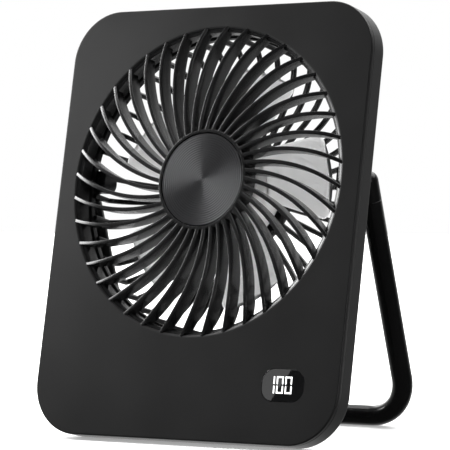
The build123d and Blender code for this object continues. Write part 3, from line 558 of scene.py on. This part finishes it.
def front_panel():
    """Ring from the opening to the outline: shallow bevel, flat face, round edge, seam, back and collar."""
    rows = [opening_row(OPENING_RADIUS, REAR_COVER_FRONT), opening_row(OPENING_RADIUS, OPENING_BEVEL_DEPTH),
            opening_row(OPENING_RADIUS + OPENING_BEVEL, 0),
            opening_row(OPENING_RADIUS + OPENING_BEVEL + EDGE_SUPPORT, 0),
            outline_row(FRONT_EDGE_ROUND + EDGE_SUPPORT, 0)]
    rows += [outline_row(inset, depth) for inset, depth in edge_steps(FRONT_EDGE_ROUND)]
    rows += [outline_row(0, PANEL_THICKNESS - SEAM_BEVEL), outline_row(SEAM_BEVEL, PANEL_THICKNESS),
             opening_row(COLLAR_RADIUS, PANEL_THICKNESS), opening_row(COLLAR_RADIUS, REAR_COVER_FRONT),
             rows[0]]
    recess = capped(np.stack([window_row(-WINDOW_GAP, -RECESS_CUT),
                              window_row(-WINDOW_GAP, WINDOW_THICKNESS)]))
    add_piece("front_panel", [place(np.stack(rows))], FACE, "casing", ["front_cover"],
              [[place(recess)]])


def side_wall():
    """Band round the body: seam bevel at the front, round edge at the back, slot for the inlet."""
    rows = [outline_row(SEAM_BEVEL, PANEL_THICKNESS), outline_row(0, PANEL_THICKNESS + SEAM_BEVEL),
            outline_row(0, BODY_DEPTH - REAR_EDGE_ROUND - EDGE_SUPPORT)]
    rows += [outline_row(inset, BODY_DEPTH - depth)
             for inset, depth in reversed(edge_steps(REAR_EDGE_ROUND))]
    rows += [outline_row(REAR_EDGE_ROUND + EDGE_SUPPORT, BODY_DEPTH), outline_row(WALL, BODY_DEPTH),
             outline_row(WALL, PANEL_THICKNESS), rows[0]]
    centres, directions = rounded_loop(
        INLET_HEIGHT, INLET_WIDTH, INLET_CORNER, (INLET_D, INLET_V), SHORT_STEPS)
    loop = centres + INLET_CORNER * directions
    ends = [np.stack([np.full(len(loop), u), loop[:, 0], loop[:, 1]], -1)
            for u in (-BODY_WIDTH / 2 - INLET_CUT, -BODY_WIDTH / 2 + INLET_CUT)]
    add_piece("side_wall", [place(np.stack(rows))], FACE, "casing", ["side_frame"],
              [[place(capped(np.stack(ends)))]])


def display_lens():
    """Flat lens with a small round edge, closed to its middle in front and behind."""
    rows = [window_row(0, WINDOW_THICKNESS)]
    rows += [window_row(inset, depth) for inset, depth in reversed(edge_steps(WINDOW_EDGE_ROUND))]
    rows += [window_row(WINDOW_EDGE_ROUND + EDGE_SUPPORT, 0)]
    add_piece("display_lens", [place(capped(np.stack(rows)))], LENS, "casing", ["display_window"])


def digit_strokes(column, strokes):
    """Strokes of one digit: bars square at its corners and pointed where they meet half-way up."""
    half = np.array([DIGIT_WIDTH / 2, DIGIT_HEIGHT / 2]) - DIGIT_STROKE / 2
    corners = {"a": (-1, 1), "b": (1, 1), "c": (-1, 0), "d": (1, 0), "e": (-1, -1), "f": (1, -1)}
    signs = np.array([[corners[end] for end in stroke] for stroke in strokes])
    ends = signs * half
    along = unit(ends[:, 1] - ends[:, 0])[:, None]
    inward = np.concatenate([along, -along], 1)
    thick = DIGIT_STROKE / 2
    square = np.abs(signs[..., 1:])
    tips = ends + inward * np.where(square, -thick, DIGIT_GAP)
    shoulders = ends + inward * np.where(square, -thick, DIGIT_GAP + thick)
    side = thick * np.concatenate([-along[..., 1:], along[..., :1]], -1)
    low = np.stack([tips[:, 0], shoulders[:, 0] - side[:, 0], shoulders[:, 1] - side[:, 0], tips[:, 1]], 1)
    high = np.stack([tips[:, 0], shoulders[:, 0] + side[:, 0], shoulders[:, 1] + side[:, 0], tips[:, 1]], 1)
    rows = np.stack([low, low, high, high, low], 1)
    depth = np.array([0, -1, -1, 0, 0])[None, :, None] * DIGIT_PROUD
    u = DIGITS_U + column * DIGIT_STEP + rows[..., 0] + DIGIT_SLANT * rows[..., 1]
    return np.stack([u, np.broadcast_to(depth, u.shape), DIGITS_V + rows[..., 1]], -1)


def display_digits():
    """The number one hundred in seven-stroke digits."""
    nought = ["ab", "bd", "df", "ef", "ce", "ac"]
    sheets = [digit_strokes(-1, ["bd", "df"]), digit_strokes(0, nought), digit_strokes(1, nought)]
    add_piece("display_digits", [place(sheet) for sheet in sheets], LIT, "casing")


def back_button():
    """Round button with a dished back and a round edge."""
    radius = np.linspace(0, BUTTON_RADIUS - BUTTON_EDGE_ROUND, DISH_POINTS)
    dish = BUTTON_BACK - BUTTON_DISH * (1 - (radius / radius[-1]) ** 2)
    edge = turned_edge(BUTTON_RADIUS, BUTTON_BACK, BUTTON_EDGE_ROUND, OUTER_BACK)
    profile = list(zip(radius, dish)) + edge + [(BUTTON_RADIUS, BUTTON_FRONT), (0, BUTTON_FRONT)]
    add_piece("back_button", [place(turned(profile, (WINDOW_U, WINDOW_V)))], RUBBER, "button",
              ["power_button"])


# Front grille

def swirl_grille():
    """Ribs swept along arcs, their fronts falling away by a square towards the tips, with hub and rim."""
    arc = arc_through([polar(*point) for point in RIB_ARC], RIB_STEPS)
    heading = unit(np.gradient(arc, axis=0))
    across = np.stack([-heading[:, 1], np.zeros(len(arc)), heading[:, 0]], -1)
    deep = np.broadcast_to([0.0, 1.0, 0.0], across.shape)
    front = RIB_FRONT + RIB_FALL * (np.linalg.norm(arc, axis=1) - RIB_FALL_START).clip(0) ** 2
    bar = bar_section(RIB_WIDTH, 0, RIB_BACK, RIB_FRONT_ROUND, RIB_BACK_ROUND)
    section = np.tile(bar, (len(arc), 1, 1))
    section[..., 1] += np.where(bar[:, 1] < RIB_BACK / 2, front[:, None], 0)
    rib = capped(sweep(ring_row(arc, 0), across, deep, section))
    turns = RIB_PHASE + 360 / RIB_COUNT * np.arange(RIB_COUNT)
    edge = turned_edge(HUB_RADIUS, HUB_FRONT, HUB_BEVEL, OUTER_FRONT)
    lip = turned_edge(CAP_SEAT_RADIUS, HUB_FRONT, HUB_LIP_ROUND, INNER_FRONT)[::-1]
    hub = turned([(0, CAP_SEAT), (CAP_SEAT_RADIUS, CAP_SEAT), *lip, *edge, (HUB_RADIUS, HUB_BACK),
                  (0, HUB_BACK)])
    rim_edge = turned_edge(RIM_INNER, RIM_FRONT, RIM_ROUND, INNER_FRONT)
    rim = turned([(RIM_RADIUS, REAR_COVER_FRONT), (RIM_RADIUS, RIM_FRONT - RIM_SLANT), *rim_edge,
                  (RIM_INNER, REAR_COVER_FRONT), (RIM_RADIUS, REAR_COVER_FRONT)])
    sheets = [turned_copies(rib, turns), hub, rim]
    add_piece("swirl_grille", [place(sheet) for sheet in sheets], GRILLE, "casing",
              ["front_grille"])


def grooved_cap():
    """Dished disc with cosine grooves, one each pitch, and a round edge."""
    radius = np.linspace(0, CAP_RADIUS - CAP_EDGE_ROUND, int(GROOVE_STEPS * CAP_RADIUS / GROOVE_PITCH))
    groove = GROOVE_DEPTH * (1 - np.cos(2 * math.pi * radius / GROOVE_PITCH))
    face = CAP_FRONT + CAP_DISH * (1 - radius / CAP_RADIUS) + groove
    edge = turned_edge(CAP_RADIUS, CAP_FRONT, CAP_EDGE_ROUND, OUTER_FRONT)
    profile = list(zip(radius, face)) + edge + [(CAP_RADIUS, CAP_SEAT), (0, CAP_SEAT)]
    add_piece("grooved_cap", [place(turned(profile))], SPUN, "casing", ["hub_cap"])


# Impeller

def edge_angle(radius, root, tip):
    """Angle at each radius of the straight line between a root point and a tip point."""
    step = tip - root
    a, b = step @ step, root @ step
    share = (-b + np.sqrt(b ** 2 - a * (root @ root - radius ** 2))) / a
    point = root + share[:, None] * step
    return np.arctan2(point[:, 1], point[:, 0])


def blade():
    """Petal between two straight edges: round tip corners, cambered across, thinned at its edges."""
    radius = np.linspace(BLADE_ROOT_RADIUS, BLADE_TIP_RADIUS, BLADE_ROWS)
    corner_start = BLADE_TIP_RADIUS - BLADE_CORNER
    over = (radius - corner_start).clip(0)
    trim = (BLADE_CORNER - np.sqrt(BLADE_CORNER ** 2 - over ** 2)) / radius
    root_tip = [(polar(BLADE_ROOT_RADIUS, angles[0]), polar(BLADE_TIP_RADIUS, angles[1]))
                for angles in (BLADE_LOW_ANGLES, BLADE_HIGH_ANGLES)]
    low, high = (edge_angle(radius, *ends) for ends in root_tip)
    low, high = low + trim, high - trim
    cross = -np.cos(np.linspace(0, math.pi, BLADE_COLUMNS))
    loop = np.concatenate([cross, cross[-2::-1]])
    side = np.concatenate([-np.ones(BLADE_COLUMNS), np.ones(BLADE_COLUMNS - 1)])
    thin = side * np.sqrt(1 - loop ** BLADE_EDGE_POWER)
    tip_thin = np.sqrt(1 - np.linspace(0, 1, BLADE_ROWS) ** BLADE_TIP_POWER)
    angle = (low + high)[:, None] / 2 + loop * (high - low)[:, None] / 2
    x, y = radius[:, None] * np.cos(angle), radius[:, None] * np.sin(angle)
    share = (x - CUP_RADIUS) / (BLADE_TIP_RADIUS - CUP_RADIUS)
    front = BLADE_FRONT[0] + share * (BLADE_FRONT[1] - BLADE_FRONT[0])
    half = BLADE_SHEET_HALF[0] + share * (BLADE_SHEET_HALF[1] - BLADE_SHEET_HALF[0])
    chord = y / half
    depth = (BLADE_BACK + front) / 2 - (BLADE_BACK - front) / 2 * chord + BLADE_CAMBER * (1 - chord ** 2)
    depth = depth + tip_thin[:, None] * thin * BLADE_THICKNESS / 2
    return capped(np.stack([x, depth, y], -1))


def impeller_wheel():
    """Five blades round a cup with a round front edge, open behind."""
    edge = turned_edge(CUP_RADIUS, CUP_FRONT, CUP_EDGE_ROUND, OUTER_FRONT)
    cup = turned([(0, CUP_FRONT), (CUP_RADIUS - CUP_EDGE_ROUND - EDGE_SUPPORT, CUP_FRONT), *edge,
                  (CUP_RADIUS, CUP_BACK), (CUP_RADIUS - CUP_WALL, CUP_BACK),
                  (CUP_RADIUS - CUP_WALL, CUP_FRONT + CUP_WALL), (0, CUP_FRONT + CUP_WALL)])
    turns = BLADE_PHASE + 360 / BLADE_COUNT * np.arange(BLADE_COUNT)
    add_piece("impeller_wheel", [place(turned_copies(blade(), turns)), place(cup)], BLADE, "fan",
              ["impeller"])


# Rear guard

def guard_rib():
    """Bar over the dome: flat crown, circle arc and straight wall, its section square to that line."""
    middle = GUARD_BACK - GUARD_THICKNESS / 2
    end = math.degrees(math.acos((GUARD_WALL_RADIUS - GUARD_CROWN_RADIUS) / GUARD_DOME_RADIUS))
    arc = polar(GUARD_DOME_RADIUS, np.linspace(90, end, DOME_POINTS))
    line = np.concatenate([[[GUARD_ROOT_RADIUS, middle]],
                           arc + [GUARD_CROWN_RADIUS, middle - GUARD_DOME_RADIUS],
                           [[GUARD_WALL_RADIUS, BODY_DEPTH]]])
    heading = unit(np.gradient(line, axis=0))
    flat = np.zeros(len(line))
    path = np.stack([line[:, 0], line[:, 1], flat], -1)
    outward = np.stack([-heading[:, 1], heading[:, 0], flat], -1)
    across = np.broadcast_to([0.0, 0.0, 1.0], path.shape)
    half = GUARD_THICKNESS / 2
    section = bar_section(GUARD_RIB_WIDTH, -half, half, GUARD_EDGE_ROUND, GUARD_EDGE_ROUND)
    return capped(sweep(path, across, outward, section))


def hinge_lug(side):
    """Round-ended lug with softened edges at the flange, from its foot to behind the hinge axis."""
    sweep_angle = np.radians(np.linspace(-90, 90, LUG_POINTS))
    turn = np.concatenate([[-math.pi / 2], sweep_angle, [math.pi / 2, -math.pi / 2]])
    middle = np.concatenate([[BODY_DEPTH], np.full(len(sweep_angle), HINGE_D), [BODY_DEPTH, BODY_DEPTH]])
    steps = edge_steps(GUARD_EDGE_ROUND)
    ends = [(LUG_INNER + depth, inset) for inset, depth in steps]
    ends += [(LUG_OUTER - depth, inset) for inset, depth in reversed(steps)]
    rows = [np.stack([np.full(len(turn), side * u), middle + (LUG_RADIUS - inset) * np.cos(turn).clip(0),
                      HINGE_V + (LUG_RADIUS - inset) * np.sin(turn)], -1) for u, inset in ends]
    return capped(np.stack(rows))


def rear_guard():
    """Domed guard: straight ribs all round, hub plate, flange, screw tabs and hinge lugs."""
    turns = GUARD_RIB_PHASE + 360 / GUARD_RIB_COUNT * np.arange(GUARD_RIB_COUNT)
    ribs = turned_copies(guard_rib(), turns)
    hub_edge = turned_edge(GUARD_HUB_RADIUS, GUARD_BACK, GUARD_EDGE_ROUND, OUTER_BACK)
    hub = turned([(0, GUARD_BACK), (GUARD_HUB_RADIUS - GUARD_EDGE_ROUND - EDGE_SUPPORT, GUARD_BACK),
                  *hub_edge, (GUARD_HUB_RADIUS, GUARD_HUB_FRONT), (0, GUARD_HUB_FRONT)])
    flange_back = BODY_DEPTH + GUARD_FLANGE_THICKNESS
    flange_edge = turned_edge(GUARD_RADIUS, flange_back, GUARD_EDGE_ROUND, OUTER_BACK)
    inner = GUARD_RADIUS - GUARD_FLANGE
    flange = turned([(inner, BODY_DEPTH), (inner, flange_back), *flange_edge, (GUARD_RADIUS, BODY_DEPTH),
                     (inner, BODY_DEPTH)])
    tab_edge = turned_edge(GUARD_TAB_RADIUS, flange_back, GUARD_EDGE_ROUND, OUTER_BACK)
    tab_profile = [(0, flange_back), *tab_edge, (GUARD_TAB_RADIUS, BODY_DEPTH), (0, BODY_DEPTH)]
    tabs = [turned(tab_profile, centre) for centre in polar(GUARD_TAB_CIRCLE, GUARD_TAB_ANGLES)]
    sheets = [ribs, hub, flange, *tabs, hinge_lug(1), hinge_lug(-1)]
    add_piece("rear_guard", [place(sheet) for sheet in sheets], GRILLE, "casing",
              ["rear_grille"])


# Stand

def stand_loop():
    """Round tube carried along a U: two legs, two bends and the bar on the floor."""
    low = -LEG_LENGTH
    bend = np.linspace(180, 270, BEND_POINTS)
    left = polar(BEND_RADIUS, bend) + [BEND_RADIUS - LEG_X, low + BEND_RADIUS]
    half = np.concatenate([[[-LEG_X, -KNUCKLE_LENGTH], [-LEG_X, -KNUCKLE_LENGTH - KNUCKLE_SEAM]], left])
    line = np.concatenate([half, half[::-1] * [-1, 1]])
    heading = unit(np.gradient(line, axis=0))
    path = np.stack([line[:, 0], np.zeros(len(line)), line[:, 1]], -1)
    across = np.stack([-heading[:, 1], np.zeros(len(line)), heading[:, 0]], -1)
    deep = np.broadcast_to([0.0, 1.0, 0.0], path.shape)
    width = np.full(len(line), TUBE_RADIUS)
    width[[0, -1]] -= KNUCKLE_SEAM
    circle = width[:, None, None] * polar(1.0, np.linspace(0, 360, TUBE_STEPS + 1))
    add_piece("stand_loop", [hang(capped(sweep(path, across, deep, circle)))], STAND_PAINT, "stand",
              ["stand_tube"])


def leg_end(side, name, node_name):
    """Round-topped end of a leg and the boss that faces the hinge lug."""
    top = polar(TUBE_RADIUS, np.linspace(90, 0, LEG_TOP_POINTS))
    rod = np.concatenate([top, [[TUBE_RADIUS, KNUCKLE_SEAM - KNUCKLE_LENGTH],
                                [TUBE_RADIUS - KNUCKLE_SEAM, -KNUCKLE_LENGTH], [0, -KNUCKLE_LENGTH]]])
    upright = turned(rod)[..., [0, 2, 1]] + [side * LEG_X, 0, 0]
    boss = turned([(0, LEG_X), (KNUCKLE_BOSS_RADIUS, LEG_X), (KNUCKLE_BOSS_RADIUS, BOSS_END + KNUCKLE_SEAM),
                   (KNUCKLE_BOSS_RADIUS - KNUCKLE_SEAM, BOSS_END), (0, BOSS_END)])
    level = boss[..., [1, 0, 2]] * [side, 1, 1]
    add_piece(name, [hang(upright), hang(level)], KNUCKLE, "stand", [node_name])


front_panel()
side_wall()
display_lens()
display_digits()
back_button()
swirl_grille()
grooved_cap()
impeller_wheel()
rear_guard()
stand_loop()
leg_end(-1, "leg_end_left", "stand_knuckle_left")
leg_end(1, "leg_end_right", "stand_knuckle_right")


# Studio: pale floor, soft lights and camera

FLOOR_HALF = 1.0
FLOOR_GLOW = 0.35
CAMERA_PLACE = (0.645608, -0.992946, 0.182223)
CAMERA_YAW = 0.5731
CAMERA_PITCH = 0.0732
CAMERA_ROLL = -0.0452
CAMERA_LENS = 207.9
SENSOR_WIDTH = 36.0
LIGHT_TARGET = (0.0, 0.0, 0.1)
# Spot, width and height in metres, and power in watts
SOFTBOXES = {
    "key_softbox": ((-0.58, -0.21, 0.31), 0.22, 0.26, 2.65),
    "top_softbox": ((0.2, 0.5, 1.5), 2.2, 2.2, 70.0),
    "fill_softbox": ((1.0, -0.6, 0.25), 0.25, 0.25, 2.2),
    "rear_left_softbox": ((-1.0, 0.8, 0.45), 0.6, 1.0, 6.0),
    "high_left_softbox": ((-0.88, -0.25, 0.72), 0.3, 0.3, 5.4),
}
SURROUND_FRONT = 0.06
SURROUND_BACK = 1.0
SURROUND_BRIGHT_SIDE = (-0.6, 0.8, 0.0)
SURROUND_START = 0.2
SURROUND_END = 0.8
CARD_TILT = math.radians(57.5)
CARD_DISTANCE = 0.8
CARD_WIDTH = 0.06
CARD_LENGTH = 0.12
CARD_EDGE = 0.0014
CARD_POWER = 0.025


def studio_floor():
    """Flat square of pale matt floor, one grid cell."""
    corner = np.array([-FLOOR_HALF, FLOOR_HALF])
    x, y = np.meshgrid(corner, corner)
    floor = bpy.data.objects.new("studio_floor", welded_mesh("studio_floor", [np.stack([x, y, 0 * x], -1)]))
    bpy.context.scene.collection.objects.link(floor)
    floor.data.materials.append(
        grained("pale_floor", (0.86, 0.86, 0.86), (0.88, 0.88, 0.88), (0.7, 0.8), 3.0, 0.01, 400.0,
                Emission_Color=WHITE, Emission_Strength=FLOOR_GLOW))
    floor.visible_glossy = False


def soft_light(name, spot, axes, width, height, power):
    """Rectangular soft light at a spot, with its width, height and back along three axes."""
    light = bpy.data.lights.new(name, "AREA")
    light.shape = "RECTANGLE"
    light.size = width
    light.size_y = height
    light.energy = power
    lamp = bpy.data.objects.new(name, light)
    lamp.matrix_world = Matrix.Translation(spot) @ Matrix(np.stack(axes, -1).tolist()).to_4x4()
    lamp.visible_camera = False
    bpy.context.scene.collection.objects.link(lamp)


def lens_card():
    """Small soft light that the display lens mirrors, its edge slanting across the lens."""
    middle = place([WINDOW_U, 0.0, WINDOW_V])
    sight = unit(np.array(CAMERA_PLACE) - middle)
    mirrored = 2 * (sight @ BACK) * BACK - sight
    along = math.cos(CARD_TILT) * RIGHT + math.sin(CARD_TILT) * UP
    side = math.cos(CARD_TILT) * UP - math.sin(CARD_TILT) * RIGHT
    spot = middle + CARD_DISTANCE * mirrored + (CARD_EDGE + CARD_WIDTH / 2) * side
    soft_light("lens_card", spot, [along, side, -BACK], CARD_LENGTH, CARD_WIDTH, CARD_POWER)


def studio_lights():
    """Soft lights that face the fan, and a surround bright behind it at the left and dim in front."""
    for name, (spot, width, height, power) in SOFTBOXES.items():
        back = unit(np.array(spot) - LIGHT_TARGET)
        side = unit(np.cross([0.0, 0.0, 1.0], back))
        soft_light(name, spot, [side, np.cross(back, side), back], width, height, power)
    lens_card()
    world = bpy.data.worlds.new("pale_surround")
    world.use_nodes = True
    tree = world.node_tree
    dim = tree.nodes["Background"]
    dim.inputs["Color"].default_value = WHITE
    towards = tree.nodes.new("ShaderNodeVectorMath")
    towards.operation = "DOT_PRODUCT"
    towards.inputs[1].default_value = SURROUND_BRIGHT_SIDE
    tree.links.new(tree.nodes.new("ShaderNodeTexCoord").outputs["Generated"], towards.inputs[0])
    level = tree.nodes.new("ShaderNodeMapRange")
    level.inputs["From Min"].default_value = SURROUND_START
    level.inputs["From Max"].default_value = SURROUND_END
    level.inputs["To Min"].default_value = SURROUND_FRONT
    level.inputs["To Max"].default_value = SURROUND_BACK
    tree.links.new(towards.outputs["Value"], level.inputs["Value"])
    tree.links.new(level.outputs["Result"], dim.inputs["Strength"])
    white = tree.nodes.new("ShaderNodeBackground")
    white.inputs["Color"].default_value = WHITE
    mix = tree.nodes.new("ShaderNodeMixShader")
    tree.links.new(tree.nodes.new("ShaderNodeLightPath").outputs["Is Camera Ray"], mix.inputs["Fac"])
    tree.links.new(dim.outputs["Background"], mix.inputs[1])
    tree.links.new(white.outputs["Background"], mix.inputs[2])
    tree.links.new(mix.outputs["Shader"], tree.nodes["World Output"].inputs["Surface"])
    bpy.context.scene.world = world


def photo_camera():
    """Long-lens camera placed and turned by its yaw, pitch and roll."""
    sin_yaw, cos_yaw = math.sin(CAMERA_YAW), math.cos(CAMERA_YAW)
    forward = np.array([-sin_yaw * math.cos(CAMERA_PITCH), cos_yaw * math.cos(CAMERA_PITCH),
                        -math.sin(CAMERA_PITCH)])
    level = np.array([cos_yaw, sin_yaw, 0.0])
    upright = np.cross(level, forward)
    side = math.cos(CAMERA_ROLL) * level + math.sin(CAMERA_ROLL) * upright
    above = math.cos(CAMERA_ROLL) * upright - math.sin(CAMERA_ROLL) * level
    lens = bpy.data.cameras.new("photo_camera")
    lens.lens = CAMERA_LENS
    lens.sensor_width = SENSOR_WIDTH
    camera = bpy.data.objects.new("photo_camera", lens)
    turn = np.stack([side, above, -forward], -1)
    camera.matrix_world = Matrix.Translation(CAMERA_PLACE) @ Matrix(turn.tolist()).to_4x4()
    bpy.context.scene.collection.objects.link(camera)
    bpy.context.scene.camera = camera


studio_floor()
studio_lights()
photo_camera()
bpy.context.scene.view_settings.view_transform = "Standard"
